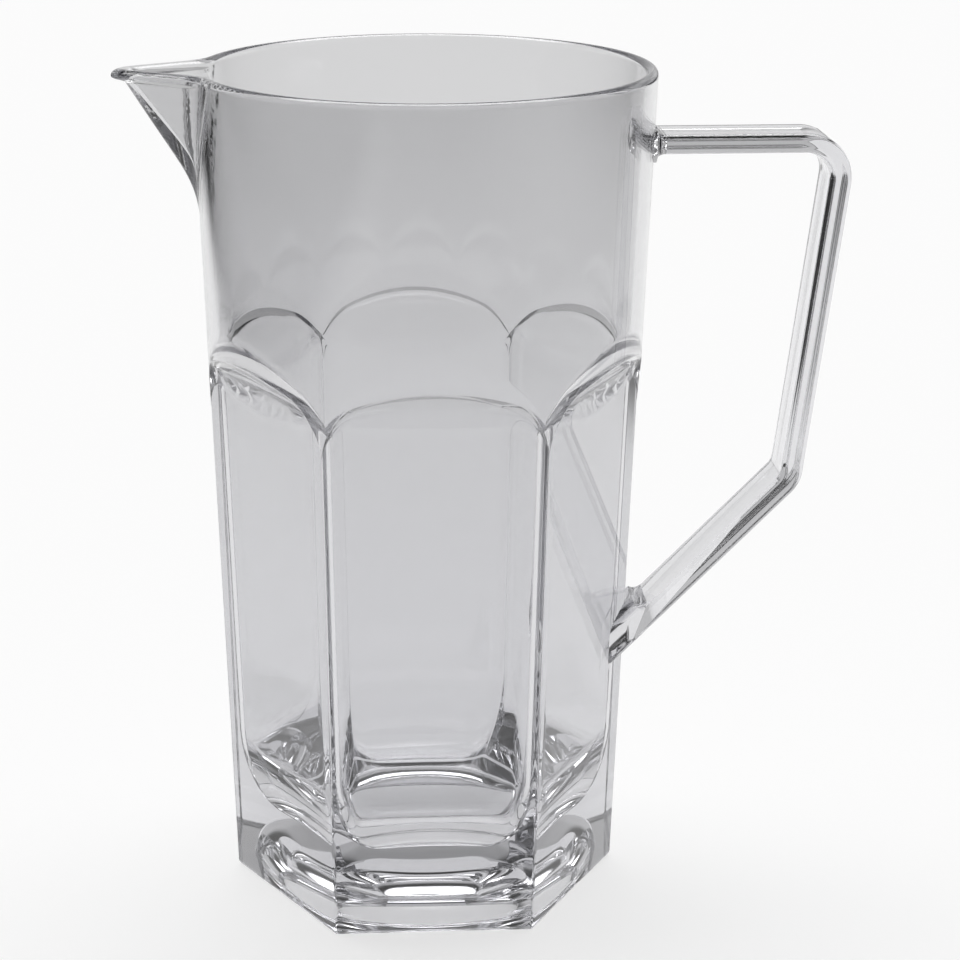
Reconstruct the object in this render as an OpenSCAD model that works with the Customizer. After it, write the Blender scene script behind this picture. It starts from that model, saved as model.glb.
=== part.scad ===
// Clear pitcher: round above, six flat arched panels below, a pouring beak and a bonded strap handle.
// Sizes are in millimetres, +Z is up, the foot rests on Z = 0, the handle points along +X.

/* [Body] */
// Overall height
height = 235; // [210:1:260]
// Outer radius at the rim
rim_r = 63; // [59:0.5:68]
// Outer radius of the six corners at the foot
foot_r = 55; // [51:0.5:58]
// Wall thickness of the round upper part
wall = 3.4; // [2.6:0.1:4.4]
// Wall thickness of the flat panels
panel_wall = 4.6; // [3.6:0.1:6]
// Extra thickness that rounds off the six corners inside
corner_fill = 1.4; // [1:0.1:2.5]

/* [Arches] */
// Height of the foot of the sloped shoulder at the middle of a panel
shoulder_z = 151; // [140:1:160]
// Slope of the shoulder above the horizontal
shoulder_slope = 48; // [40:1:56]
// Corner radius of the arch
arch_corner = 9; // [5:0.5:13]
// Depth by which the upright corner edges are eased
edge_ease = 0.3; // [0.1:0.05:0.6]

/* [Base] */
// Height of the floor inside
floor_z = 20; // [17:0.5:23]
// Radius between the floor and the walls inside
floor_fillet = 25; // [16:0.5:28]
// Depth of the hollow under the base
recess_depth = 11.6; // [8:0.2:12.4]
// Width of the round hollow's curved shoulder
recess_cove = 18; // [12:0.5:24]
// Least width of the foot that stands on the table
foot_wall = 8.6; // [7:0.2:12]

/* [Beak] */
// Reach of the beak beyond the rim
beak_reach = 21.4; // [14:0.2:28]
// Radius of the tip of the beak
beak_tip_r = 6.5; // [5:0.1:8]
// Half width of the beak where it leaves the body
beak_half_w = 18; // [14:0.5:22]
// Height of the beak below the rim
beak_depth = 40; // [30:0.5:44]
// Overhang of the rim over the keel at the tip of the beak
beak_bead = 3; // [1:0.1:3.6]
// Wall thickness of the beak
beak_wall = 3; // [2.2:0.1:3.6]

/* [Handle] */
// Width of the handle bar
bar_w = 18; // [14:0.5:22]
// Thickness of the handle bar
bar_t = 6.2; // [5:0.1:8]
// Radius of the long edges of the bar
bar_edge_r = 2; // [1:0.1:2.4]
// Distance from the rim down to the middle of the top arm
arm_drop = 20.4; // [16:0.2:28]
// Reach of the top arm beyond the wall, to the middle of the grip
arm_reach = 52.2; // [44:0.2:60]
// Lean of the grip toward the body
grip_lean = 6.9; // [2:0.1:10]
// Height of the bend under the grip
knuckle_z = 118.6; // [108:0.2:128]
// Slope of the lower strut
strut_slope = 45.4; // [42:0.1:50]
// Bend radius above the grip, to the middle of the bar
upper_bend_r = 10; // [7:0.2:14]
// Bend radius below the grip, to the middle of the bar
lower_bend_r = 8; // [6:0.2:12]
// Length of the moulded stub that carries the top arm
stub_len = 2.6; // [2.6:0.1:5]
// Radius at the roots of the handle
root_r = 3; // [2:0.1:4]

/* [Hidden] */
$fn = 96;
panels = 6;
sector = 360 / panels;
half_sector = sector / 2;
over = 1;
far = 400;
hair = 0.02;
bite = 0.05;
cove_bite = 0.5;
lap = 0.4;
beak_fn = 40;
taper = (rim_r - foot_r) / height;
flat_share = cos(half_sector);
panel_tilt = atan(flat_share * taper);
shoulder_half = body_r(shoulder_z) * sin(half_sector);
corner_wall = (panel_wall - edge_ease) / flat_share + corner_fill;
corner_top = shoulder_z + panel_wall;
recess_r = flat_share * foot_r - foot_wall;
recess_lip = 1;
lip_r = wall / 2 + bite;
lip_z = height - lip_r;
beak_lip = 2.4;
beak_sink = 0.3;
beak_top = height - beak_sink;
beak_apex_r = 0.8;
beak_root_out = 4;
beak_root_in = 8;
beak_tip_x = rim_r + beak_reach - beak_tip_r;
beak_apex_z = height - beak_depth;
beak_rise = beak_wall / sin(atan(beak_reach / beak_depth));
arm_z = height - arm_drop;
arm_wall_x = body_r(arm_z);
stub_x = arm_wall_x + stub_len;
stub_fillet = stub_len - lap;
seat_lift = 0.5;
turn_upper = 90 + grip_lean;
turn_lower = 90 - grip_lean - strut_slope;
corner = [arm_wall_x + arm_reach, arm_z];
grip_dir = [-sin(grip_lean), -cos(grip_lean)];
strut_dir = [-cos(strut_slope), -sin(strut_slope)];
strut_up = [-sin(strut_slope), cos(strut_slope)];
knuckle = corner + grip_dir * (arm_z - knuckle_z) / cos(grip_lean);
upper_tangent = upper_bend_r * tan(turn_upper / 2);
lower_tangent = lower_bend_r * tan(turn_lower / 2);
grip_top = corner + grip_dir * upper_tangent;
grip_foot = knuckle - grip_dir * lower_tangent;
strut_top = knuckle + strut_dir * lower_tangent;
strut_end = strut_point(strut_run(0) + 2 * bar_t, 0);
upper_centre = [corner.x - upper_tangent, arm_z - upper_bend_r];
lower_centre = grip_foot - lower_bend_r * [cos(grip_lean), -sin(grip_lean)];
crotch_angle = 90 - strut_slope - atan(taper);
crotch_tangent = root_r / tan(crotch_angle / 2);
crotch_sharp = strut_point(strut_run(bar_t / 2), bar_t / 2);
crotch_bar = strut_point(strut_run(bar_t / 2) - crotch_tangent, bar_t / 2);
crotch_wall = crotch_sharp + crotch_tangent * [sin(atan(taper)), cos(atan(taper))];
crotch_centre = crotch_wall + root_r * [cos(atan(taper)), -sin(atan(taper))];
seat_foot = strut_point(strut_run(-bar_t / 2), -bar_t / 2) + [seat_lift, 0];
seat_dir = (crotch_bar - seat_foot) / norm(crotch_bar - seat_foot);

// Outer radius of the body at a height
function body_r(z) = foot_r + taper * z;

// Point on the strut, measured along it from the knuckle and square to it
function strut_point(run, side) = knuckle + strut_dir * run + strut_up * side;

// Run along the strut at which a line beside its middle meets the corner edge of the body
function strut_run(side) =
    (knuckle.x - foot_r - taper * knuckle.y - side * (sin(strut_slope) + taper * cos(strut_slope)))
    / (cos(strut_slope) - taper * sin(strut_slope));

// Lays a flat outline in the upright plane of the handle, centred on it
module upright(width) {
    rotate([90, 0, 0])
        linear_extrude(width, center = true)
            children();
}

// Repeats a part for each flat panel
module each_panel() {
    for (i = [0 : panels - 1])
        rotate([0, 0, half_sector + i * sector])
            children();
}

// Arch outline, open at the foot, grown on all sides
module arch_outline(grow) {
    corner_r = arch_corner + grow;
    half = shoulder_half + grow;
    translate([corner_r - grow, -half])
        square([far, 2 * half]);
    translate([-grow, corner_r - half])
        square([corner_r + over, 2 * (half - corner_r)]);
    for (side = [-1, 1])
        translate([corner_r - grow, side * (half - corner_r)])
            circle(corner_r);
}

// Space in front of one flat panel, under its sloped shoulder
module pocket(grow) {
    intersection() {
        translate([flat_share * foot_r, 0, 0])
            rotate([0, panel_tilt, 0])
                translate([edge_ease - grow, -far / 2, -over])
                    cube([far, far, far]);
        translate([flat_share * body_r(shoulder_z), 0, shoulder_z])
            rotate([0, 90 - shoulder_slope, 0])
                linear_extrude(far, center = true)
                    arch_outline(grow);
    }
}

// Solid cone of the body with a rounded lip
module blank() {
    rotate_extrude() {
        polygon([[0, 0], [foot_r, 0], [body_r(lip_z), lip_z], [0, lip_z]]);
        translate([body_r(lip_z) - wall / 2, lip_z])
            circle(lip_r);
    }
}

// Rounded corner between the floor and one panel
module floor_cove() {
    translate([flat_share * body_r(floor_z), 0, floor_z])
        rotate([0, panel_tilt, 0])
            translate([edge_ease - panel_wall, 0, 0])
                upright_cove(floor_fillet);
}

// Bar with a hollow quarter round, its corner at the origin
module upright_cove(radius) {
    upright(2 * foot_r)
        difference() {
            translate([-radius, -radius])
                square([radius + panel_wall, 2 * radius]);
            translate([-radius, radius])
                circle(radius + cove_bite);
        }
}

// Space inside the body
module cavity() {
    difference() {
        rotate_extrude()
            polygon([
                [0, floor_z],
                [body_r(floor_z) - corner_wall, floor_z],
                [body_r(corner_top) - corner_wall, corner_top],
                [body_r(corner_top + panel_wall) - wall, corner_top + panel_wall],
                [body_r(height + over) - wall, height + over],
                [0, height + over]
            ]);
        each_panel()
            pocket(panel_wall);
        each_panel()
            floor_cove();
    }
}

// Plate of the beak at the rim, from its tip to the wall, shrunk on all sides
module beak_plate(shrink, inward, back, lift) {
    translate([0, 0, beak_top - beak_lip])
        hull() {
            translate([back - beak_tip_x, 0, 0])
                cylinder(r = beak_tip_r - shrink, h = beak_lip + lift, $fn = beak_fn);
            translate([inward - rim_r, shrink - beak_half_w, 0])
                cube([over, 2 * (beak_half_w - shrink), beak_lip + lift]);
        }
}

// Wedge of the beak, from behind the bead of the rim down to its foot on the wall
module beak_wedge(shrink, inward, lift) {
    hull() {
        beak_plate(shrink, inward, beak_bead, lift);
        translate([inward - body_r(beak_apex_z), 0, beak_apex_z + shrink / beak_wall * beak_rise])
            sphere(beak_apex_r, $fn = beak_fn);
    }
}

// Section of the handle bar, trimmed by a hair where a straight run slips into a bend
module bar_section(trim) {
    edge = bar_edge_r - trim;
    square([bar_t - 2 * trim, bar_w - 2 * bar_edge_r], center = true);
    square([bar_t - 2 * bar_edge_r, bar_w - 2 * trim], center = true);
    for (x = [-1, 1], y = [-1, 1])
        translate([x * (bar_t / 2 - bar_edge_r), y * (bar_w / 2 - bar_edge_r)])
            circle(edge);
}

// Straight run of the bar between two points
module bar_run(from, to) {
    step = to - from;
    translate([from.x, 0, from.y])
        rotate([0, atan2(step.x, step.y), 0])
            linear_extrude(norm(step))
                bar_section(hair);
}

// Bend of the bar about a centre
module bar_bend(centre, radius, start, turn) {
    translate([centre.x, 0, centre.y])
        rotate([90, 0, 0])
            rotate([0, 0, start])
                rotate_extrude(angle = turn)
                    translate([radius, 0])
                        bar_section(0);
}

// Top arm, from inside the wall to the bend
module arm() {
    bar_run([arm_wall_x - 2 * wall, arm_z], [corner.x - upper_tangent + lap, arm_z]);
}

// Lower strut, from the bend into the wall
module strut() {
    bar_run(strut_top - lap * strut_dir, strut_end);
}

// Side of the upper bond face that belongs to the body
module arm_seat() {
    translate([stub_x - far, -far / 2, 0])
        cube([far, far, far]);
}

// Side of the lower bond face that belongs to the body
module strut_seat() {
    upright(2 * bar_w)
        polygon([
            seat_foot - far * seat_dir,
            seat_foot + far * seat_dir,
            seat_foot + far * seat_dir - [far, 0],
            seat_foot - far * seat_dir - [far, 0]
        ]);
}

// Hollow quarter round over the stub of the top arm
module stub_cove() {
    upright(bar_w - 2 * bar_edge_r)
        difference() {
            translate([-wall, 0])
                square([wall + stub_fillet, bar_t / 2 + stub_fillet]);
            translate([stub_fillet, bar_t / 2 - hair + stub_fillet])
                circle(stub_fillet + bite);
        }
}

// Moulded stub that carries the top arm
module upper_root() {
    intersection() {
        arm();
        arm_seat();
    }
    translate([arm_wall_x, 0, arm_z]) {
        stub_cove();
        mirror([0, 0, 1])
            stub_cove();
    }
}

// Moulded pad that carries the lower strut
module lower_root() {
    intersection() {
        strut();
        strut_seat();
    }
    upright(bar_w - 2 * bar_edge_r)
        difference() {
            polygon([crotch_bar, crotch_wall, crotch_wall - [wall, 0], crotch_sharp - [wall, wall]]);
            translate(crotch_centre)
                circle(root_r + bite);
        }
}

// Half section of the hollow under the base
module recess_outline() {
    translate([0, -over])
        square([recess_r, over + recess_lip]);
    translate([0, -over])
        square([recess_r - recess_cove, over + recess_depth]);
    translate([recess_r - recess_cove, recess_lip])
        scale([recess_cove, recess_depth - recess_lip])
            circle(1, $fn = 48);
}

// Hollow under the base, round and domed
module recess() {
    rotate_extrude()
        intersection() {
            translate([0, -over])
                square([recess_r, recess_depth + over]);
            recess_outline();
        }
}

// Moulded vessel with its beak and the two handle roots
module jug_body() {
    color([0.86, 0.86, 0.9, 0.35])
        difference() {
            union() {
                difference() {
                    blank();
                    each_panel()
                        pocket(0);
                }
                beak_plate(0, beak_root_out, 0, 0);
                beak_wedge(0, beak_root_out, 0);
                upper_root();
                lower_root();
            }
            cavity();
            beak_wedge(beak_wall, beak_root_in, over);
            recess();
        }
}

// Strap handle, bonded to the two roots
module handle() {
    color([0.84, 0.84, 0.89, 0.5]) {
        difference() {
            arm();
            arm_seat();
        }
        bar_bend(upper_centre, upper_bend_r, 90 - turn_upper, turn_upper);
        bar_run(grip_top - lap * grip_dir, grip_foot + lap * grip_dir);
        bar_bend(lower_centre, lower_bend_r, 90 - turn_upper - turn_lower, turn_lower);
        difference() {
            strut();
            strut_seat();
        }
    }
}

jug_body();
handle();
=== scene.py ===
"""Clear pitcher: a moulded vessel with six arched panels, a pouring beak and a bonded strap handle.

Everything is in metres, in the frame of the solids: +Z up, the foot on Z = 0, the handle towards +X
and the beak towards -X.
"""

import math

import bmesh
import bpy
import numpy as np
from bpy.props import FloatProperty, FloatVectorProperty, PointerProperty
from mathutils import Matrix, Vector


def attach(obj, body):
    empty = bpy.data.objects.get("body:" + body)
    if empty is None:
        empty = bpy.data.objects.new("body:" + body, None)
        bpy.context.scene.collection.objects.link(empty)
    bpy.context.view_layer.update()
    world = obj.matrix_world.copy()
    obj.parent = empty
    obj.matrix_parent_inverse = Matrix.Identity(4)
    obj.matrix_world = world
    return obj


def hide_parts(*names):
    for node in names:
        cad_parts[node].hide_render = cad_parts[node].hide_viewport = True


bl_info = {
    "name": "Clear pitcher",
    "version": (1, 0, 0),
    "blender": (4, 5, 0),
    "location": "View3D > Sidebar > Pitcher",
    "description": "Builds the visible meshes, finishes and studio of a clear pitcher",
    "category": "Object",
}

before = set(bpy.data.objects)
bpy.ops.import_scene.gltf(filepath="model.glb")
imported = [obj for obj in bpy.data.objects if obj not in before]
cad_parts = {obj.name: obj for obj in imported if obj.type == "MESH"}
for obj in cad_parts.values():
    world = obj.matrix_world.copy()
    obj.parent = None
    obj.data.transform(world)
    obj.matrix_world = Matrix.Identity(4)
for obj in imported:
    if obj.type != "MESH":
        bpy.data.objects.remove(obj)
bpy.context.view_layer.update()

MM = 0.001
BODY = "root"
PANELS = 6
SECTOR = 2 * math.pi / PANELS
FLAT_SHARE = math.cos(SECTOR / 2)

# Small radii of the moulding, and the inner face of its shoulders
CORNER_ROUND = 1.3 * MM
CORNER_EASE = 0.1 * MM
INSIDE_CORNER_ROUND = 6.8 * MM
ARCH_EDGE_ROUND = 0.9 * MM
ARCH_COVE = 16.0 * MM
INSIDE_ARCH_ROUND = 40.0 * MM
INSIDE_SLOPE = math.radians(51.5)
INSIDE_LIFT = 4.0 * MM
FOOT_EDGE_ROUND = 1.6 * MM
RECESS_LIP = 1.0 * MM
LIP_HEIGHT = 1.7 * MM
LEAST_SHOULDER = 0.5 * MM
ARCH_CORNER_SHARE = 0.98

# Shares of the two faces beside it that a round on the shoulder may take
INSIDE_COVE_ROOM = (0.45, 0.48)
INSIDE_EDGE_ROOM = (0.48, 0.45)
EDGE_ROOM = (0.45, 0.2)
COVE_ROOM = (0.76, 0.45)

# Shape of the beak beside its own sizes: it has its full reach BEAK_LIP below the rim, and its sides
# start inside the wall by the root values and the hidden run
BEAK_BLEND = 4.6 * MM
BEAK_INSIDE_BLEND = 3.4 * MM
BEAK_LIP = 2.4 * MM
BEAD_HEIGHT = 3.5 * MM
BEAD_FULL = 2.0 * MM
BEAK_HIDDEN_RUN = 9.0 * MM
BEAK_ROOT_OUTSIDE = 4.0 * MM
BEAK_ROOT_INSIDE = 8.0 * MM
BEAK_HALF_TURN = math.radians(28)
BEAK_COLUMN_STEP = math.radians(0.6)
BEAK_SIDE_POINTS = 40
BEAK_TIP_POINTS = 24
BEAK_START = 1.0 * MM

# How finely the vessel is divided
CORNER_COLUMNS = 34
CORNER_CROWDING = 1.5
LEAST_COLUMN_GAP = math.radians(0.1)
PANEL_ROWS = 14
CONE_ROWS = 6
BEAK_ROWS = 26
BEAD_ROWS = 10
ROUND_STEPS = 6
COVE_STEPS = 14
FILLET_STEPS = 16
SETTLE_STEPS = 8
DOME_STEPS = 20
LIP_STEPS = 12
FLOOR_SHARES = (0.3, 0.55, 0.78, 1.0)

# Handle bar and its roots
BAR_ROUND_STEPS = 6
BEND_STEPS = 18
BOND_GAP = 0.03 * MM
STUB_SINK = 2.6 * MM
PAD_SINK = 5.8 * MM
FLARE_STEPS = 6
FLARE_SHARE = 0.85
CROTCH_STEPS = 8
CROTCH_SHARE = 0.96
SEAT_LIFT = 0.5 * MM
SHARP_EDGE = math.radians(40)

# Lengths beyond the bond faces that are cut off again, in bar thicknesses
STRUT_EXTRA = 2
PAD_EXTRA_OUT = 3
PAD_EXTRA_IN = 4

# Guards for divisions and cuts
TINY = 1e-12
LEAST_SPAN = 1e-4
CUT_TOLERANCE = 1e-7

# Finish of the clear plastic: soft ripples of the moulding, and rubbing marks along the height
PLASTIC_IOR = 1.53
RIPPLE_SCALE = 30.0
RIPPLE_STRENGTH = 0.02
RIPPLE_DEPTH = 1.2 * MM
RUBBING_SCALE = (900, 900, 60)
RUBBING_SPREAD = (0.55, 0.8)
RUBBING_ROUGHNESS = (0.008, 0.03)

# Grey that the clear plastic gathers with depth, per metre
DEPTH_DENSITY = 7.5
DEPTH_COLOUR = (0.50, 0.50, 0.53, 1.0)

# Studio light by its direction: heights are sines of the angle above the horizon
PALE_WALL = 0.62
LEFT_ROOM = 0.3
RIGHT_ROOM = 0.15
DARK_ROOM = 0.015
OVERHEAD_LIGHT = 5.2
ROOM_ACROSS = (-0.3, 0.3)
ROOM_SIDES = (-0.6, -0.2)
WALL_SIDES = (0.05, 0.35)
WALL_TOP = (0.36, 0.56)
LIGHT_START = (0.72, 0.86)
LIGHT_FRONT = (-0.1, 0.2)

# Table under the pitcher: white where the picture shows it, and darker past soft edges
TABLE_DROP = 0.02 * MM
TABLE_HALF = 6.0
WHITE_LEFT = (-0.6, -0.36)
WHITE_RIGHT = (0.66, 1.3)
WHITE_FRONT = (-1.3, -0.2)
GRAIN_SCALE = 350.0
GRAIN_STRENGTH = 0.02
GRAIN_DEPTH = 0.4 * MM
TABLE_ROUGHNESS = 0.9

# Camera, and how often light may bounce in the clear plastic
FOCAL_LENGTH = 99.69
SENSOR_WIDTH = 36.0
SIDE_SHIFT = 0.0574
NEAR_CLIP = 0.01
BOUNCES = 160

# Sockets of the mix node, by data type
MIX_SHARE = 0
LEVEL_FIRST = 2
LEVEL_SECOND = 3
LEVEL_RESULT = 0
COLOUR_FIRST = 6
COLOUR_SECOND = 7
COLOUR_RESULT = 2


def length(name, description, millimetres):
    """A size that is typed in millimetres here and kept in metres."""
    return FloatProperty(
        name=name, description=description, default=millimetres * MM, min=0.0, unit="LENGTH", precision=5
    )


def place(name, description, millimetres):
    """A place along an axis, on either side of zero."""
    return FloatProperty(
        name=name, description=description, default=millimetres * MM, unit="LENGTH", precision=5
    )


def turn(name, description, degrees):
    """An angle that is typed in degrees here and kept in radians."""
    return FloatProperty(
        name=name, description=description, default=math.radians(degrees), subtype="ANGLE", unit="ROTATION"
    )


def colour(name, description, red, green, blue):
    """A colour with three linear channels."""
    return FloatVectorProperty(
        name=name,
        description=description,
        default=(red, green, blue),
        size=3,
        min=0.0,
        max=1.0,
        subtype="COLOR",
    )


def factor(name, description, value):
    """A share between none and all."""
    return FloatProperty(
        name=name, description=description, default=value, min=0.0, max=1.0, subtype="FACTOR"
    )


class PitcherVesselSettings(bpy.types.PropertyGroup):
    """Sizes and finish of the moulded vessel"""

    height: length("Height", "From the table to the rim", 235)
    rim_radius: length("Rim radius", "Outer radius at the rim", 63)
    foot_radius: length("Foot radius", "Outer radius of the six corners at the foot", 55)
    wall: length("Upper wall", "Wall thickness of the round upper part", 3.4)
    panel_wall: length("Panel wall", "Wall thickness of the flat panels", 4.6)
    shoulder_height: length("Shoulder height", "Foot of the sloped shoulder at the middle of a panel", 151)
    shoulder_slope: turn("Shoulder slope", "Slope of the shoulder above the horizontal", 48)
    arch_corner: length("Arch corner", "Corner radius of the arches", 9)
    floor_height: length("Floor height", "Height of the floor inside", 20)
    floor_fillet: length("Floor fillet", "Radius between the floor and the walls inside", 25)
    recess_depth: length("Recess depth", "Depth of the hollow under the base", 11.6)
    recess_cove: length("Recess cove", "Width of the round hollow's curved shoulder", 18)
    foot_width: length("Foot width", "Least width of the ring that stands on the table", 8.6)
    beak_reach: length("Beak reach", "Reach of the beak beyond the rim", 21.4)
    beak_tip: length("Beak tip", "Radius of the tip of the beak", 6.5)
    beak_half_width: length("Beak half width", "Half width of the beak where it leaves the wall", 18)
    beak_depth: length("Beak depth", "Height of the beak below the rim", 40)
    beak_bead: length("Beak bead", "Overhang of the rim over the keel at the tip of the beak", 3)
    beak_wall: length("Beak wall", "Wall thickness of the beak", 3)
    # The rim tint is darker than the foot tint as painted shade: it stands in for the darker surroundings
    # that the upper body takes in, not for a change in the plastic's own colour
    tint_low: colour("Tint near the foot", "Colour of the clear plastic low down", 0.806, 0.806, 0.824)
    painted_shade_tint_high: colour("Tint near the rim", "Colour of the clear plastic high up", 0.744, 0.744, 0.751)


class PitcherHandleSettings(bpy.types.PropertyGroup):
    """Sizes and finish of the strap handle"""

    bar_width: length("Bar width", "Width of the handle bar", 18)
    bar_thickness: length("Bar thickness", "Thickness of the handle bar", 6.2)
    bar_edge: length("Bar edge", "Radius of the long edges of the bar", 2)
    arm_trim: length("Arm trim", "How much thinner the top arm is than the grip", 0.8)
    arm_drop: length("Arm drop", "From the rim down to the middle of the top arm", 20.4)
    arm_reach: length("Arm reach", "From the wall to the middle of the grip", 52.2)
    grip_lean: turn("Grip lean", "Lean of the grip towards the vessel", 6.9)
    knuckle_height: length("Knuckle height", "Height of the bend under the grip", 118.6)
    strut_slope: turn("Strut slope", "Slope of the lower strut", 45.4)
    upper_bend: length("Upper bend", "Radius of the bend above the grip", 10)
    lower_bend: length("Lower bend", "Radius of the bend below the grip", 8)
    stub: length("Stub", "Length of the moulded stub that carries the top arm", 2.6)
    root_round: length("Root radius", "Radius in the crotch over the lower root", 3)
    tint: colour("Tint", "Colour of the clear plastic of the handle", 0.84, 0.84, 0.855)


class PitcherStageSettings(bpy.types.PropertyGroup):
    """Floor, light and camera"""

    white_colour: colour("White", "Colour of the table under the pitcher", 0.93, 0.93, 0.93)
    white_glow: factor("White glow", "Share of the white that reads as plain white", 0.72)
    dark_colour: colour("Dark", "Colour of the table away from the pitcher", 0.03, 0.03, 0.03)
    camera_x: place("Camera X", "Sideways place of the camera", -39.25)
    camera_back: length("Camera distance", "How far the camera stands in front of the axis", 716.2)
    camera_height: length("Camera height", "Height of the camera above the table", 345)
    camera_yaw: turn("Camera yaw", "Turn of the camera towards the handle", 3.137)
    camera_pitch: turn("Camera pitch", "Downward tilt of the camera", 17.579)


def spaced_angles(values, least):
    """Sorted angles without those that nearly repeat their neighbour."""
    kept = []
    for value in sorted(values):
        if not kept or value - kept[-1] > least:
            kept.append(value)
    return np.array(kept)


def column_angles():
    """Angles round the axis, crowded at the six corners and evenly close across the beak."""
    offsets = SECTOR / 2 * (np.arange(CORNER_COLUMNS + 1) / CORNER_COLUMNS) ** CORNER_CROWDING
    angles = []
    for panel in range(PANELS):
        for offset in offsets:
            angles.append((panel * SECTOR + offset) % (2 * math.pi))
            angles.append((panel * SECTOR - offset) % (2 * math.pi))
    count = round(2 * BEAK_HALF_TURN / BEAK_COLUMN_STEP)
    angles += list(np.linspace(math.pi - BEAK_HALF_TURN, math.pi + BEAK_HALF_TURN, count + 1))
    return spaced_angles(angles, LEAST_COLUMN_GAP)


def unit(vectors):
    """Vectors of length one."""
    return vectors / np.maximum(np.linalg.norm(vectors, axis=-1, keepdims=True), TINY)


def rounded_corner(before, corner, after, radius, shares, steps):
    """Points of a round between two straight lines, within a share of each, for every column at once."""
    to_before = before - corner
    to_after = after - corner
    room = np.minimum(
        shares[0] * np.linalg.norm(to_before, axis=1), shares[1] * np.linalg.norm(to_after, axis=1)
    )
    back = unit(to_before)
    ahead = unit(to_after)
    half = 0.5 * np.arccos(np.clip(np.sum(back * ahead, axis=1), -1, 1))
    reach = np.minimum(radius / np.tan(half), room)
    fitted = reach * np.tan(half)
    centre = corner + unit(back + ahead) * (fitted / np.sin(half))[:, None]
    first = corner + back * reach[:, None] - centre
    last = corner + ahead * reach[:, None] - centre
    span = np.maximum(math.pi - 2 * half, LEAST_SPAN)
    points = []
    for share in np.linspace(0, 1, steps + 1):
        part_first = (np.sin((1 - share) * span) / np.sin(span))[:, None]
        part_last = (np.sin(share * span) / np.sin(span))[:, None]
        points.append(centre + part_first * first + part_last * last)
    return points


def smooth_greater(first, second, blend):
    """The greater of two radii, with a soft change from one to the other."""
    near = np.maximum(blend - np.abs(first - second), 0) / blend
    return np.maximum(first, second) + near * near * blend / 4


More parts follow.
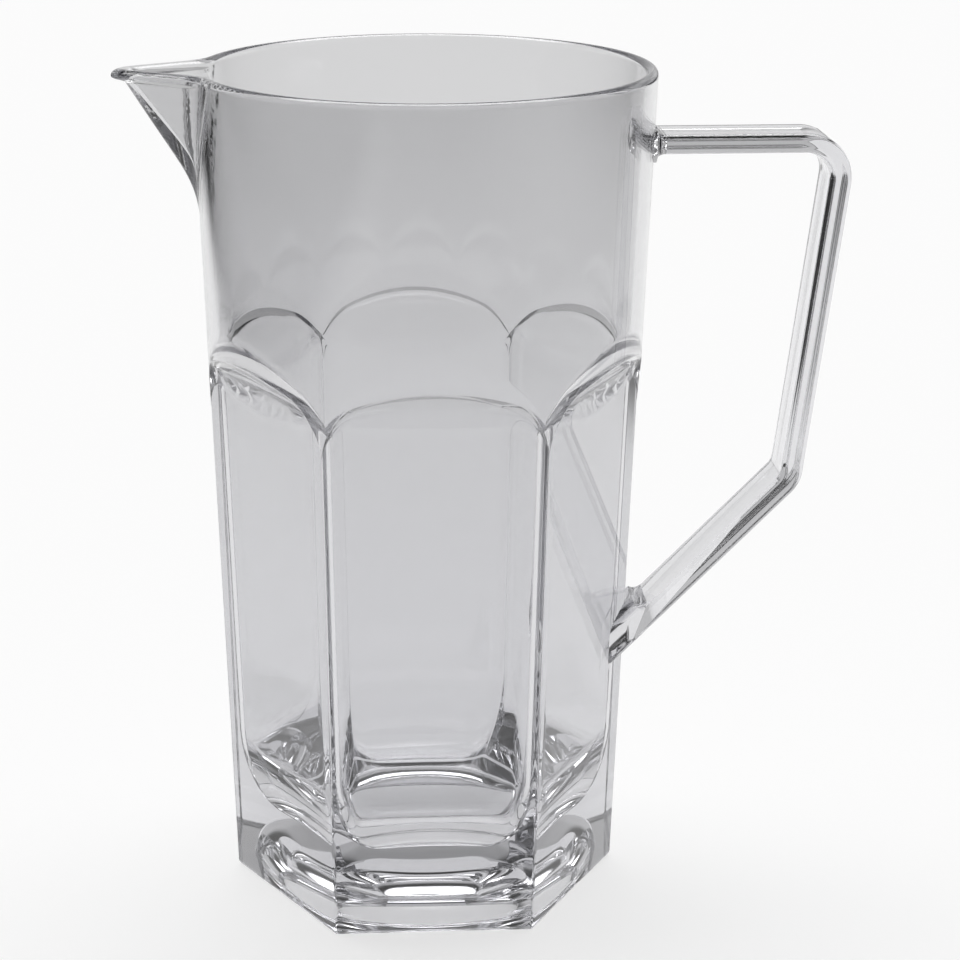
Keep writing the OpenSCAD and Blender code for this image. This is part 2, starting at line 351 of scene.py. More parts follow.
class VesselShape:
    """Radii and heights of the vessel at every column round its axis."""

    def __init__(self, sizes, angles):
        self.sizes = sizes
        self.angles = angles
        self.off_panel = np.mod(angles, SECTOR) - SECTOR / 2
        self.off_beak = angles - math.pi
        self.taper = (sizes.rim_radius - sizes.foot_radius) / sizes.height
        self.arch_half = self.cone(sizes.shoulder_height) * math.sin(SECTOR / 2)
        self.lip_base = sizes.height - LIP_HEIGHT
        self.beak_base = sizes.height - sizes.beak_depth - BEAK_START

    def cone(self, height):
        """Outer radius of the round body, and of the corners, at a height."""
        return self.sizes.foot_radius + self.taper * height

    def panel(self, height, inset):
        """Distance from the axis to a panel's face."""
        return FLAT_SHARE * self.cone(height) + CORNER_EASE - inset

    def six_sided(self, distance, corner):
        """Radius of a six-sided outline with rounded corners."""
        off_corner = SECTOR / 2 - np.abs(self.off_panel)
        flat = distance / np.cos(self.off_panel)
        centre = (distance - corner) / FLAT_SHARE
        inside = corner**2 - (centre * np.sin(off_corner)) ** 2
        round_part = centre * np.cos(off_corner) + np.sqrt(np.maximum(inside, 0))
        past_flat = distance * np.tan(np.abs(self.off_panel)) > (distance - corner) * math.tan(SECTOR / 2)
        return np.where(past_flat, round_part, flat)

    def shoulder(self, radius, height, inset):
        """Height of the sloped shoulder over a point that lies at a radius.

        An inset means the inner face, which has its own slope and lift.
        """
        sizes = self.sizes
        across = np.abs(radius * np.sin(self.off_panel))
        out = radius * np.cos(self.off_panel) - self.panel(height, 0)
        corner = sizes.arch_corner + inset
        past = np.clip(across - (self.arch_half - sizes.arch_corner), 0, ARCH_CORNER_SHARE * corner)
        drop = corner - np.sqrt(corner**2 - past**2)
        slope = INSIDE_SLOPE if inset else sizes.shoulder_slope
        lift = INSIDE_LIFT if inset else 0.0
        return sizes.shoulder_height + lift - drop / math.cos(sizes.shoulder_slope) + math.tan(slope) * out

    def shoulder_foot(self, inset, corner):
        """Where the shoulder starts from a panel's face."""
        height = np.full_like(self.angles, self.sizes.shoulder_height)
        for _ in range(SETTLE_STEPS):
            radius = self.six_sided(self.panel(height, inset), corner)
            height = self.shoulder(radius, height, inset)
        return np.stack([radius, height], axis=1)

    def shoulder_top(self, foot, inset, wall):
        """Where the shoulder runs out into the round body."""
        height = np.full_like(self.angles, self.sizes.shoulder_height)
        for _ in range(SETTLE_STEPS):
            height = self.shoulder(self.cone(height) - wall, height, inset)
        height = np.maximum(height, foot[:, 1] + LEAST_SHOULDER)
        return np.stack([self.cone(height) - wall, height], axis=1)

    def beak(self, height, shrink, root, rise, overhang):
        """Radius of the beak's wedge at a height, and nothing beside the beak."""
        sizes = self.sizes
        apex_height = sizes.height - sizes.beak_depth + rise
        share = np.clip((height - apex_height) / (sizes.height - BEAK_LIP - apex_height), 0, 1)
        tip = sizes.beak_tip - shrink
        tip_x = sizes.rim_radius + sizes.beak_reach - sizes.beak_tip - sizes.beak_bead + overhang
        root_x = sizes.rim_radius - root
        root_y = sizes.beak_half_width - shrink
        apex_x = self.cone(sizes.height - sizes.beak_depth) - root
        run = tip_x - root_x
        tangent = math.atan2(root_y, run) - math.asin(tip / math.hypot(run, root_y))
        touch = math.pi / 2 - tangent
        end_x = tip_x + tip * math.cos(touch)
        end_y = tip * math.sin(touch)
        steep = (root_y - end_y) / (end_x - root_x)
        side_x = np.linspace(root_x - BEAK_HIDDEN_RUN, end_x, BEAK_SIDE_POINTS)
        side_y = end_y + steep * (end_x - side_x)
        turns = np.linspace(touch, 0, BEAK_TIP_POINTS)[1:]
        half_x = np.concatenate([side_x, tip_x + tip * np.cos(turns)])
        half_y = np.concatenate([side_y, tip * np.sin(turns)])
        x = apex_x + share * (half_x - apex_x)
        y = share * half_y
        around = np.arctan2(y, x)[::-1]
        radius = np.hypot(x, y)[::-1]
        return np.interp(np.abs(self.off_beak), around, radius, right=0.0)

    def bead(self, height):
        """Overhang of the bead along the rim of the beak at a height."""
        low = self.sizes.height - BEAD_HEIGHT
        share = min(max((height - low) / (BEAD_HEIGHT - BEAD_FULL), 0.0), 1.0)
        return self.sizes.beak_bead * share * share * (3 - 2 * share)

    def outside(self, height):
        """Outer radius above the arches, with the beak."""
        around = np.full_like(self.angles, self.cone(height))
        wedge = self.beak(height, 0, BEAK_ROOT_OUTSIDE, 0, self.bead(height))
        return smooth_greater(around, wedge, BEAK_BLEND)

    def inside(self, height):
        """Inner radius above the arches, with the beak's channel."""
        sizes = self.sizes
        around = np.full_like(self.angles, self.cone(height) - sizes.wall)
        rise = sizes.beak_wall / math.sin(math.atan(sizes.beak_reach / sizes.beak_depth))
        wedge = self.beak(height, sizes.beak_wall, BEAK_ROOT_INSIDE, rise, 0)
        return smooth_greater(around, wedge, BEAK_INSIDE_BLEND)

    def at(self, radius, height):
        """One row of points, given as radius and height."""
        level = np.full_like(self.angles, height)
        return np.stack([np.broadcast_to(radius, level.shape), level], axis=1)

    def panel_rows(self, low, high, inset, corner, rows):
        """Rows up a panel between two rows of points, without those two."""
        found = []
        for share in np.linspace(0, 1, rows + 2)[1:-1]:
            height = low[:, 1] + share * (high[:, 1] - low[:, 1])
            found.append(np.stack([self.six_sided(self.panel(height, inset), corner), height], axis=1))
        return found

    def straight_rows(self, low, high, rows):
        """Rows on a straight line between two rows of points, without those two."""
        return [low + share * (high - low) for share in np.linspace(0, 1, rows + 2)[1:-1]]

    def beak_levels(self):
        """Heights of the rows across the beak, from its foot to the lip."""
        bead_base = self.sizes.height - BEAD_HEIGHT
        keel = np.linspace(self.beak_base, bead_base, BEAK_ROWS)
        return np.concatenate([keel, np.linspace(bead_base, self.lip_base, BEAD_ROWS)[1:]])

    def inside_rows(self):
        """Rows of the inner surface, from the floor up to the lip."""
        sizes = self.sizes
        inset = sizes.panel_wall
        fillet = sizes.floor_fillet
        start = sizes.floor_height + fillet
        wall_radius = self.six_sided(self.panel(start, inset), INSIDE_CORNER_ROUND)
        rows = [self.at(share * (wall_radius - fillet), sizes.floor_height) for share in FLOOR_SHARES]
        for angle in np.linspace(0, math.pi / 2, FILLET_STEPS + 1)[1:]:
            height = start - fillet * math.cos(angle)
            rows.append(self.at(wall_radius - fillet + fillet * math.sin(angle), height))
        foot = self.shoulder_foot(inset, INSIDE_CORNER_ROUND)
        top = self.shoulder_top(foot, inset, sizes.wall)
        above = self.at(self.inside(self.beak_base), self.beak_base)
        cove = rounded_corner(rows[-1], foot, top, INSIDE_ARCH_ROUND, INSIDE_COVE_ROOM, COVE_STEPS)
        edge = rounded_corner(foot, top, above, INSIDE_ARCH_ROUND, INSIDE_EDGE_ROOM, COVE_STEPS)
        rows += self.panel_rows(rows[-1], cove[0], inset, INSIDE_CORNER_ROUND, PANEL_ROWS)
        rows += cove + edge
        rows += self.straight_rows(edge[-1], above, CONE_ROWS)
        rows += [self.at(self.inside(level), level) for level in self.beak_levels()]
        return rows

    def lip_rows(self):
        """Rows over the rounded lip, from the inner to the outer surface."""
        inner = self.inside(self.lip_base)
        outer = self.outside(self.lip_base)
        rows = []
        for angle in np.linspace(0, math.pi, LIP_STEPS + 1)[1:-1]:
            radius = (inner + outer) / 2 - (outer - inner) / 2 * math.cos(angle)
            rows.append(self.at(radius, self.lip_base + LIP_HEIGHT * math.sin(angle)))
        return rows

    def outside_rows(self):
        """Rows of the outer surface, from the lip down to the foot."""
        rows = [self.at(self.outside(level), level) for level in self.beak_levels()[::-1]]
        foot = self.shoulder_foot(0, CORNER_ROUND)
        top = self.shoulder_top(foot, 0, 0)
        base = self.at(self.six_sided(self.panel(FOOT_EDGE_ROUND, 0), CORNER_ROUND), FOOT_EDGE_ROUND)
        edge = rounded_corner(rows[-1], top, foot, ARCH_EDGE_ROUND, EDGE_ROOM, ROUND_STEPS)
        cove = rounded_corner(top, foot, base, ARCH_COVE, COVE_ROOM, COVE_STEPS)
        rows += self.straight_rows(rows[-1], edge[0], CONE_ROWS)
        rows += edge + cove
        rows += self.panel_rows(cove[-1], base, 0, CORNER_ROUND, PANEL_ROWS)
        for angle in np.linspace(0, math.pi / 2, ROUND_STEPS + 1):
            inward = FOOT_EDGE_ROUND * (1 - math.cos(angle))
            rows.append(self.at(base[:, 0] - inward, FOOT_EDGE_ROUND * (1 - math.sin(angle))))
        return rows

    def recess_rows(self):
        """Rows under the foot, from the ring up into the hollow of the base."""
        sizes = self.sizes
        wall_radius = FLAT_SHARE * sizes.foot_radius - sizes.foot_width
        rows = []
        for angle in np.linspace(0, math.pi / 2, ROUND_STEPS + 1):
            radius = wall_radius + RECESS_LIP * (1 - math.sin(angle))
            rows.append(self.at(radius, RECESS_LIP * (1 - math.cos(angle))))
        for angle in np.linspace(0, math.pi / 2, DOME_STEPS + 1)[1:]:
            radius = wall_radius - sizes.recess_cove * (1 - math.cos(angle))
            rows.append(self.at(radius, RECESS_LIP + (sizes.recess_depth - RECESS_LIP) * math.sin(angle)))
        rows += [self.at(share * rows[-1][:, 0], sizes.recess_depth) for share in FLOOR_SHARES[-2::-1]]
        return rows


def skin_of(rows, angles, first_height, last_height):
    """Points and faces of a closed skin over rows of points, with one point at each end."""
    count = len(angles)
    ring = np.stack([np.cos(angles), np.sin(angles)], axis=1)
    points = [(0.0, 0.0, first_height)]
    for row in rows:
        points += [(r * c, r * s, z) for (r, z), (c, s) in zip(row, ring)]
    points.append((0.0, 0.0, last_height))
    last = len(points) - 1
    bottom = 1 + (len(rows) - 1) * count
    faces = []
    for column in range(count):
        beside = (column + 1) % count
        faces.append((0, 1 + column, 1 + beside))
        for row in range(len(rows) - 1):
            low = 1 + row * count
            high = low + count
            faces.append((low + column, high + column, high + beside, low + beside))
        faces.append((bottom + column, last, bottom + beside))
    return points, faces


def new_piece(name, points, faces):
    """A smooth mesh object with its faces turned outwards."""
    mesh = bpy.data.meshes.new(name)
    mesh.from_pydata([tuple(map(float, point)) for point in points], [], faces)
    tidy_mesh(mesh)
    piece = bpy.data.objects.new(name, mesh)
    bpy.context.scene.collection.objects.link(piece)
    return piece


def tidy_mesh(mesh):
    """Turns faces outwards, and shades them smooth."""
    work = bmesh.new()
    work.from_mesh(mesh)
    bmesh.ops.recalc_face_normals(work, faces=work.faces)
    for face in work.faces:
        face.smooth = True
    work.to_mesh(mesh)
    work.free()
    mesh.update()


class HandlePath:
    """Line of the middle of the handle bar in the upright plane, as (x, z) pairs."""

    def __init__(self, vessel, sizes):
        taper = (vessel.rim_radius - vessel.foot_radius) / vessel.height
        self.vessel = vessel
        self.sizes = sizes
        self.taper = taper
        self.arm_height = vessel.height - sizes.arm_drop
        self.wall_x = vessel.foot_radius + taper * self.arm_height
        self.stub_x = self.wall_x + sizes.stub
        self.arm = np.array([1.0, 0.0])
        self.grip = np.array([-math.sin(sizes.grip_lean), -math.cos(sizes.grip_lean)])
        self.strut = np.array([-math.cos(sizes.strut_slope), -math.sin(sizes.strut_slope)])
        self.corner = np.array([self.wall_x + sizes.arm_reach, self.arm_height])
        drop = self.arm_height - sizes.knuckle_height
        self.knuckle = self.corner + self.grip * drop / math.cos(sizes.grip_lean)
        half = sizes.bar_thickness / 2
        rise = math.atan(taper)
        self.wall_up = np.array([math.sin(rise), math.cos(rise)])
        crotch_reach = sizes.root_round / math.tan((math.pi / 2 - sizes.strut_slope - rise) / 2)
        self.crotch_run = self.run_to_wall(half) - crotch_reach
        seat_foot = self.on_strut(self.run_to_wall(-half), -half) + np.array([SEAT_LIFT, 0.0])
        seat_head = self.on_strut(self.crotch_run, half)
        self.seat = seat_foot
        self.seat_up = (seat_head - seat_foot) / np.linalg.norm(seat_head - seat_foot)

    def outward(self, direction):
        """Direction square to the bar, away from the hand."""
        return np.array([-direction[1], direction[0]])

    def on_strut(self, run, side):
        """Point on the strut, along it from the knuckle and beside its middle towards the hand."""
        return self.knuckle + self.strut * run - self.outward(self.strut) * side

    def run_to_wall(self, side):
        """Run along the strut to the corner edge of the vessel, beside the strut's middle."""
        sine = math.sin(self.sizes.strut_slope)
        cosine = math.cos(self.sizes.strut_slope)
        gap = self.knuckle[0] - self.vessel.foot_radius - self.taper * self.knuckle[1]
        return (gap - side * (sine + self.taper * cosine)) / (cosine - self.taper * sine)

    def bend(self, point, before, after, radius):
        """Middle points and directions round one bend."""
        angle = math.acos(float(np.clip(before @ after, -1, 1)))
        start = point - before * radius * math.tan(angle / 2)
        centre = start - self.outward(before) * radius
        stations = []
        for share in np.linspace(0, 1, BEND_STEPS + 1):
            part = share * angle
            cosine = math.cos(part)
            sine = math.sin(part)
            direction = np.array(
                [before[0] * cosine + before[1] * sine, before[1] * cosine - before[0] * sine]
            )
            stations.append((centre + self.outward(direction) * radius, direction))
        return stations

    def stations(self):
        """Middle points and directions along the whole handle, past the lower bond face."""
        sizes = self.sizes
        start = np.array([self.stub_x + BOND_GAP, self.arm_height])
        run = [(start, self.arm)]
        run += self.bend(self.corner, self.arm, self.grip, sizes.upper_bend)
        run += self.bend(self.knuckle, self.grip, self.strut, sizes.lower_bend)
        run.append((self.on_strut(self.run_to_wall(0) + STRUT_EXTRA * sizes.bar_thickness, 0), self.strut))
        return run


def bar_section(outer, inner, half_width, edge):
    """Rounded outline of the bar, as distances outwards and sideways."""
    points = []
    quarter = math.pi / 2
    corners = ((outer, 1, 1, 0), (inner, -1, 1, 1), (inner, -1, -1, 2), (outer, 1, -1, 3))
    for reach, sign, side, turns in corners:
        middle = sign * (reach - edge), side * (half_width - edge)
        for share in np.linspace(0, 1, BAR_ROUND_STEPS + 1):
            angle = quarter * (turns + share)
            points.append((middle[0] + edge * math.cos(angle), middle[1] + edge * math.sin(angle)))
    return points


def sweep(name, path, stations, sections):
    """A closed bar that takes one outline at each station."""
    points = []
    for (middle, direction), section in zip(stations, sections):
        out = path.outward(direction)
        points += [(middle[0] + out[0] * o, y, middle[1] + out[1] * o) for o, y in section]
    count = len(sections[0])
    faces = [tuple(range(count)), tuple(range(len(points) - count, len(points)))[::-1]]
    for station in range(len(stations) - 1):
        near = station * count
        far = near + count
        for index in range(count):
            beside = (index + 1) % count
            faces.append((near + index, near + beside, far + beside, far + index))
    return new_piece(name, points, faces)


def cut_piece(piece, point, normal, below=None):
    """Cuts away what lies beyond a plane, and closes the cut."""
    work = bmesh.new()
    work.from_mesh(piece.data)
    chosen = [vert for vert in work.verts if below is None or vert.co.z < below]
    near = set(chosen)
    edges = [edge for edge in work.edges if edge.verts[0] in near and edge.verts[1] in near]
    faces = [face for face in work.faces if all(vert in near for vert in face.verts)]
    bmesh.ops.bisect_plane(
        work,
        geom=chosen + edges + faces,
        plane_co=point,
        plane_no=normal,
        clear_outer=True,
        dist=CUT_TOLERANCE,
    )
    rim = [edge for edge in work.edges if edge.is_boundary]
    bmesh.ops.edgeloop_fill(work, edges=rim)
    work.to_mesh(piece.data)
    work.free()
    tidy_mesh(piece.data)


def upright(pair):
    """A pair in the handle's plane as a vector in space."""
    return Vector((float(pair[0]), 0.0, float(pair[1])))


def upper_root(path):
    """Stub on the wall that carries the top arm, with a soft flare where it leaves the wall."""
    sizes = path.sizes
    half = sizes.bar_thickness / 2
    top = half - sizes.arm_trim
    flare = FLARE_SHARE * sizes.stub
    stations = [(np.array([path.wall_x - STUB_SINK, path.arm_height]), path.arm)]
    sections = [bar_section(top + flare, half + flare, sizes.bar_width / 2 + flare, sizes.bar_edge + flare)]
    for share in np.linspace(0, 1, FLARE_STEPS + 1):
        place = path.wall_x + share * flare
        grow = flare - math.sqrt(flare**2 - (flare * (1 - share)) ** 2)
        stations.append((np.array([place, path.arm_height]), path.arm))
        sections.append(
            bar_section(top + grow, half + grow, sizes.bar_width / 2 + grow, sizes.bar_edge + grow)
        )
    stations.append((np.array([path.stub_x, path.arm_height]), path.arm))
    sections.append(bar_section(top, half, sizes.bar_width / 2, sizes.bar_edge))
    return sweep("upper_root", path, stations, sections)


def lower_root(path):
    """Pad on the corner edge that carries the strut, with a round crotch above it."""
    sizes = path.sizes
    half = sizes.bar_thickness / 2
    first = path.crotch_run - PAD_EXTRA_OUT * sizes.bar_thickness
    last = path.run_to_wall(0) + PAD_EXTRA_IN * sizes.bar_thickness
    runs = [first]
    growths = [0.0]
    for share in np.linspace(0, CROTCH_SHARE, CROTCH_STEPS + 1):
        runs.append(path.crotch_run + share * sizes.root_round)
        growths.append(sizes.root_round * (1 - math.sqrt(1 - share**2)))
    runs.append(last)
    growths.append(growths[-1])
    stations = [(path.on_strut(run, 0), path.strut) for run in runs]
    sections = [bar_section(half, half + grow, sizes.bar_width / 2, sizes.bar_edge) for grow in growths]
    pad = sweep("lower_root", path, stations, sections)
    seat_out = np.array([path.seat_up[1], -path.seat_up[0]])
    cut_piece(pad, upright(path.seat), upright(seat_out))
    inside = np.array([path.vessel.foot_radius - PAD_SINK, 0.0])
    wall_in = np.array([-path.wall_up[1], path.wall_up[0]])
    cut_piece(pad, upright(inside), upright(wall_in))
    return pad


def fuse(piece, others):
    """Joins other closed meshes to a piece, and removes them."""
    for other in others:
        union = piece.modifiers.new(other.name, "BOOLEAN")
        union.operation = "UNION"
        union.solver = "EXACT"
        union.object = other
    bpy.context.view_layer.update()
    graph = bpy.context.evaluated_depsgraph_get()
    joined = bpy.data.meshes.new_from_object(piece.evaluated_get(graph))
    piece.modifiers.clear()
    piece.data = joined
    for other in others:
        bpy.data.objects.remove(other)
    tidy_mesh(piece.data)


def even_shading(piece, sharp_angle):
    """Keeps large faces flat to the eye beside small rounds, and marks real corners."""
    work = bmesh.new()
    work.from_mesh(piece.data)
    for edge in work.edges:
        if len(edge.link_faces) == 2 and edge.calc_face_angle() > sharp_angle:
            edge.smooth = False
    work.to_mesh(piece.data)
    work.free()
    weights = piece.modifiers.new("Even shading", "WEIGHTED_NORMAL")
    weights.keep_sharp = True


def new_material(name):
    """A material without nodes, and its node tree."""
    material = bpy.data.materials.new(name)
    material.use_nodes = True
    tree = material.node_tree
    tree.nodes.clear()
    return material, tree


def add_node(tree, kind, **values):
    """A node with some of its values set."""
    node = tree.nodes.new(kind)
    for name, value in values.items():
        if name in node.inputs:
            node.inputs[name].default_value = value
        else:
            setattr(node, name, value)
    return node


def clear_plastic(name, low, high, top):
    """Polished clear plastic with a faint tint that darkens towards the top as painted shade, moulding
    ripples and fine rubbing marks.
    """
    material, tree = new_material(name)
    link = tree.links.new
    place = add_node(tree, "ShaderNodeTexCoord")
    apart = add_node(tree, "ShaderNodeSeparateXYZ")
    link(place.outputs["Object"], apart.inputs[0])
    # Share of the height, which blends the tint from low to high: the darkening towards the top is painted
    # shade
    painted_shade_climb = add_node(tree, "ShaderNodeMapRange")
    painted_shade_climb.inputs["From Max"].default_value = top
    link(apart.outputs["Z"], painted_shade_climb.inputs["Value"])
    tint = blend_colours(tree, painted_shade_climb.outputs["Result"], low, high)

    ripple = add_node(tree, "ShaderNodeTexNoise", Scale=RIPPLE_SCALE, Detail=1.0, Roughness=0.4)
    link(place.outputs["Object"], ripple.inputs["Vector"])
    stretch = add_node(tree, "ShaderNodeMapping")
    stretch.inputs["Scale"].default_value = RUBBING_SCALE
    link(place.outputs["Object"], stretch.inputs["Vector"])
    rubbing = add_node(tree, "ShaderNodeTexNoise", Scale=1.0, Detail=3.0, Roughness=0.6)
    link(stretch.outputs["Vector"], rubbing.inputs["Vector"])
    wear = add_node(tree, "ShaderNodeMapRange")
    limits = ("From Min", "From Max", "To Min", "To Max")
    for socket, value in zip(limits, RUBBING_SPREAD + RUBBING_ROUGHNESS):
        wear.inputs[socket].default_value = value
    link(rubbing.outputs["Fac"], wear.inputs["Value"])
    bump = add_node(tree, "ShaderNodeBump", Strength=RIPPLE_STRENGTH, Distance=RIPPLE_DEPTH)
    link(ripple.outputs["Fac"], bump.inputs["Height"])

    shader = add_node(tree, "ShaderNodeBsdfPrincipled")
    shader.inputs["Transmission Weight"].default_value = 1.0
    shader.inputs["IOR"].default_value = PLASTIC_IOR
    link(tint, shader.inputs["Base Color"])
    link(wear.outputs["Result"], shader.inputs["Roughness"])
    link(bump.outputs["Normal"], shader.inputs["Normal"])
    depth = add_node(tree, "ShaderNodeVolumeAbsorption", Density=DEPTH_DENSITY)
    depth.inputs["Color"].default_value = DEPTH_COLOUR
    output = add_node(tree, "ShaderNodeOutputMaterial")
    link(shader.outputs["BSDF"], output.inputs["Surface"])
    link(depth.outputs["Volume"], output.inputs["Volume"])
    return material


def matt_table(name, white, dark, glow):
    """Matt table with a white middle, which reads as plain white in part and keeps the object's shadow."""
    material, tree = new_material(name)
    link = tree.links.new
    place = add_node(tree, "ShaderNodeTexCoord")
    apart = add_node(tree, "ShaderNodeSeparateXYZ")
    link(place.outputs["Object"], apart.inputs[0])
    middle = smooth_step(tree, apart.outputs["X"], *WHITE_LEFT)
    right = smooth_step(tree, apart.outputs["X"], *WHITE_RIGHT)
    front = smooth_step(tree, apart.outputs["Y"], *WHITE_FRONT)
    middle = blend_levels(tree, right, middle, 0.0)
    middle = blend_levels(tree, front, 0.0, middle)
    tone = blend_colours(tree, middle, dark, white)
    grain = add_node(tree, "ShaderNodeTexNoise", Scale=GRAIN_SCALE, Detail=2.0)
    link(place.outputs["Object"], grain.inputs["Vector"])
    bump = add_node(tree, "ShaderNodeBump", Strength=GRAIN_STRENGTH, Distance=GRAIN_DEPTH)
    link(grain.outputs["Fac"], bump.inputs["Height"])
    board = add_node(tree, "ShaderNodeBsdfPrincipled", Roughness=TABLE_ROUGHNESS)
    board.inputs["Specular IOR Level"].default_value = 0.0
    link(tone, board.inputs["Base Color"])
    link(bump.outputs["Normal"], board.inputs["Normal"])
    plain = add_node(tree, "ShaderNodeEmission", Strength=1.0)
    share = add_node(tree, "ShaderNodeMath", operation="MULTIPLY")
    link(light_path_sum(tree), share.inputs[0])
    link(blend_levels(tree, middle, 0.0, glow), share.inputs[1])
    mix = add_node(tree, "ShaderNodeMixShader")
    link(share.outputs[0], mix.inputs[0])
    link(board.outputs["BSDF"], mix.inputs[1])
    link(plain.outputs["Emission"], mix.inputs[2])
    output = add_node(tree, "ShaderNodeOutputMaterial")
    link(mix.outputs[0], output.inputs["Surface"])
    return material


def light_path_sum(tree):
    """One where the camera, a reflection or a look through glass meets the surface, and zero elsewhere."""
    path = add_node(tree, "ShaderNodeLightPath")
    total = path.outputs["Is Camera Ray"]
    for name in ("Is Glossy Ray", "Is Transmission Ray"):
        add = add_node(tree, "ShaderNodeMath", operation="ADD", use_clamp=True)
        tree.links.new(total, add.inputs[0])
        tree.links.new(path.outputs[name], add.inputs[1])
        total = add.outputs[0]
    return total


def smooth_step(tree, source, start, end):
    """Zero before start, one after end, and a soft change between."""
    step = add_node(tree, "ShaderNodeMapRange", interpolation_type="SMOOTHSTEP")
    step.inputs["From Min"].default_value = start
    step.inputs["From Max"].default_value = end
    tree.links.new(source, step.inputs["Value"])
    return step.outputs["Result"]


def blend_levels(tree, share, first, second):
    """A level that goes from first to second as share goes from zero to one."""
    mix = add_node(tree, "ShaderNodeMix", data_type="FLOAT")
    for socket, value in ((MIX_SHARE, share), (LEVEL_FIRST, first), (LEVEL_SECOND, second)):
        if isinstance(value, float):
            mix.inputs[socket].default_value = value
        else:
            tree.links.new(value, mix.inputs[socket])
    return mix.outputs[LEVEL_RESULT]


def blend_colours(tree, share, first, second):
    """A colour that goes from first to second as share goes from zero to one."""
    mix = add_node(tree, "ShaderNodeMix", data_type="RGBA")
    mix.inputs[COLOUR_FIRST].default_value = (*first, 1)
    mix.inputs[COLOUR_SECOND].default_value = (*second, 1)
    tree.links.new(share, mix.inputs[MIX_SHARE])
    return mix.outputs[COLOUR_RESULT]


def studio_sky():
    """A pale wall behind the object, a dark room round it and a soft light high over the back."""
    world = bpy.data.worlds.new("studio")
    world.use_nodes = True
    tree = world.node_tree
    tree.nodes.clear()
    place = add_node(tree, "ShaderNodeTexCoord")
    apart = add_node(tree, "ShaderNodeSeparateXYZ")
    tree.links.new(place.outputs["Generated"], apart.inputs[0])
    up = apart.outputs["Z"]
    back = apart.outputs["Y"]
    sides = blend_levels(tree, smooth_step(tree, apart.outputs["X"], *ROOM_ACROSS), LEFT_ROOM, RIGHT_ROOM)
    room = blend_levels(tree, smooth_step(tree, back, *ROOM_SIDES), DARK_ROOM, sides)
    round_wall = blend_levels(tree, smooth_step(tree, back, *WALL_SIDES), room, PALE_WALL)
    over_wall = blend_levels(tree, smooth_step(tree, up, *WALL_TOP), round_wall, DARK_ROOM)
    light = blend_levels(tree, smooth_step(tree, back, *LIGHT_FRONT), DARK_ROOM, OVERHEAD_LIGHT)
    level = blend_levels(tree, smooth_step(tree, up, *LIGHT_START), over_wall, light)
    sky = add_node(tree, "ShaderNodeBackground")
    tree.links.new(level, sky.inputs["Strength"])
    sky.inputs["Color"].default_value = (1, 1, 1, 1)
    output = add_node(tree, "ShaderNodeOutputWorld")
    tree.links.new(sky.outputs["Background"], output.inputs["Surface"])
    bpy.context.scene.world = world


def flat_sheet(name, corners, drop):
    """A flat stage piece below the object's foot."""
    sheet = new_piece(name, [(x, y, -drop) for x, y in corners], [tuple(range(len(corners)))])
    return sheet


class PITCHER_OT_vessel(bpy.types.Operator):
    """Build the moulded vessel with its beak and the two handle roots"""

    bl_idname = "pitcher.vessel"
    bl_label = "Build vessel"

    def execute(self, context):
        sizes = context.scene.pitcher_vessel
        angles = column_angles()
        shape = VesselShape(sizes, angles)
        rows = shape.inside_rows() + shape.lip_rows() + shape.outside_rows() + shape.recess_rows()
        points, faces = skin_of(rows, angles, sizes.floor_height, sizes.recess_depth)
        vessel = new_piece("vessel", points, faces)
        path = HandlePath(sizes, context.scene.pitcher_handle)
        fuse(vessel, [upper_root(path), lower_root(path)])
        even_shading(vessel, SHARP_EDGE)
        vessel.data.materials.clear()
        # The vessel's tint darkens from the foot to the rim as painted shade; the handle keeps one tint
        vessel.data.materials.append(
            clear_plastic("clear_vessel", sizes.tint_low, sizes.painted_shade_tint_high, sizes.height)
        )
        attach(vessel, BODY)
        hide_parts("jug_body")
        return {"FINISHED"}


class PITCHER_OT_handle(bpy.types.Operator):
    """Build the strap handle between its two bond faces"""

    bl_idname = "pitcher.handle"
    bl_label = "Build handle"

    def execute(self, context):
        sizes = context.scene.pitcher_handle
        vessel = context.scene.pitcher_vessel
        path = HandlePath(vessel, sizes)
        half = sizes.bar_thickness / 2
        stations = path.stations()
        trims = np.concatenate([[1.0], np.linspace(1, 0, BEND_STEPS + 1), np.zeros(BEND_STEPS + 2)])
        sections = [
            bar_section(half - share * sizes.arm_trim, half, sizes.bar_width / 2, sizes.bar_edge)
            for share in trims
        ]
        handle = sweep("strap_handle", path, stations, sections)
        seat_in = np.array([-path.seat_up[1], path.seat_up[0]])
        cut_piece(handle, upright(path.seat - seat_in * BOND_GAP), upright(seat_in), sizes.knuckle_height)
        even_shading(handle, SHARP_EDGE)
        handle.data.materials.append(clear_plastic("clear_handle", sizes.tint, sizes.tint, vessel.height))
        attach(handle, BODY)
        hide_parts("handle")
        return {"FINISHED"}


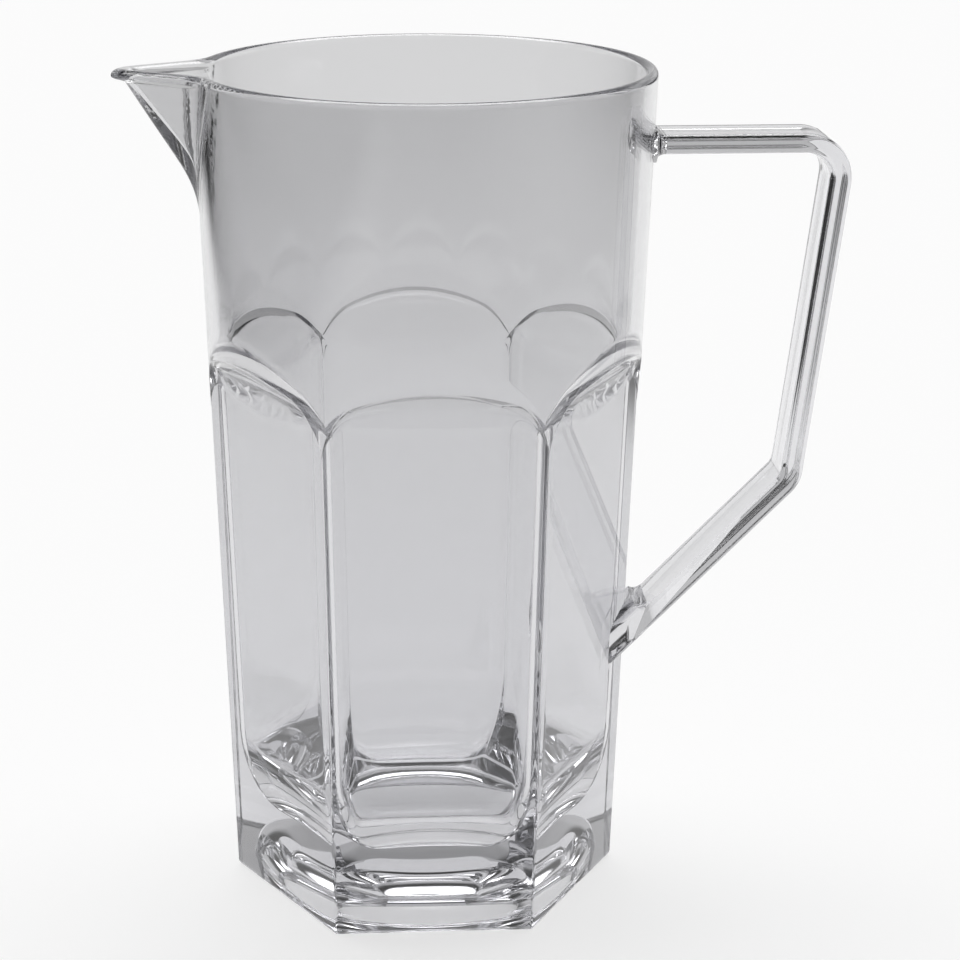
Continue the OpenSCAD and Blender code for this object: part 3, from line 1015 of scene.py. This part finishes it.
class PITCHER_OT_stage(bpy.types.Operator):
    """Lay the floor, light the studio and set the camera"""

    bl_idname = "pitcher.stage"
    bl_label = "Set the stage"

    def execute(self, context):
        sizes = context.scene.pitcher_stage
        square = ((-1, -1), (1, -1), (1, 1), (-1, 1))
        table = flat_sheet("table", [(x * TABLE_HALF, y * TABLE_HALF) for x, y in square], TABLE_DROP)
        table.data.materials.append(
            matt_table("matt_table", sizes.white_colour, sizes.dark_colour, sizes.white_glow)
        )
        studio_sky()

        lens = bpy.data.cameras.new("camera")
        lens.lens = FOCAL_LENGTH
        lens.sensor_width = SENSOR_WIDTH
        lens.shift_x = SIDE_SHIFT
        lens.clip_start = NEAR_CLIP
        camera = bpy.data.objects.new("camera", lens)
        camera.location = (sizes.camera_x, -sizes.camera_back, sizes.camera_height)
        camera.rotation_euler = (math.pi / 2 - sizes.camera_pitch, 0.0, -sizes.camera_yaw)
        context.scene.collection.objects.link(camera)
        context.scene.camera = camera
        context.scene.view_settings.view_transform = "Standard"
        context.scene.cycles.max_bounces = BOUNCES
        context.scene.cycles.transmission_bounces = BOUNCES
        context.scene.cycles.glossy_bounces = BOUNCES
        return {"FINISHED"}


class PITCHER_PT_panel(bpy.types.Panel):
    """Lists the steps that build the pitcher and its settings"""

    bl_idname = "PITCHER_PT_panel"
    bl_label = "Clear pitcher"
    bl_space_type = "VIEW_3D"
    bl_region_type = "UI"
    bl_category = "Pitcher"

    def draw(self, context):
        for step, group in STEPS:
            column = self.layout.column(align=True)
            column.operator(step.bl_idname)
            settings = getattr(context.scene, group)
            for name in settings.__annotations__:
                column.prop(settings, name)


SETTINGS = {
    "pitcher_vessel": PitcherVesselSettings,
    "pitcher_handle": PitcherHandleSettings,
    "pitcher_stage": PitcherStageSettings,
}
STEPS = (
    (PITCHER_OT_vessel, "pitcher_vessel"),
    (PITCHER_OT_handle, "pitcher_handle"),
    (PITCHER_OT_stage, "pitcher_stage"),
)
CLASSES = (*SETTINGS.values(), *(step for step, _ in STEPS), PITCHER_PT_panel)


def register():
    for kind in CLASSES:
        bpy.utils.register_class(kind)
    for name, kind in SETTINGS.items():
        setattr(bpy.types.Scene, name, PointerProperty(type=kind))


def unregister():
    for name in SETTINGS:
        delattr(bpy.types.Scene, name)
    for kind in reversed(CLASSES):
        bpy.utils.unregister_class(kind)


def main():
    register()
    bpy.ops.pitcher.vessel()
    bpy.ops.pitcher.handle()
    bpy.ops.pitcher.stage()


if __name__ == "__main__":
    main()
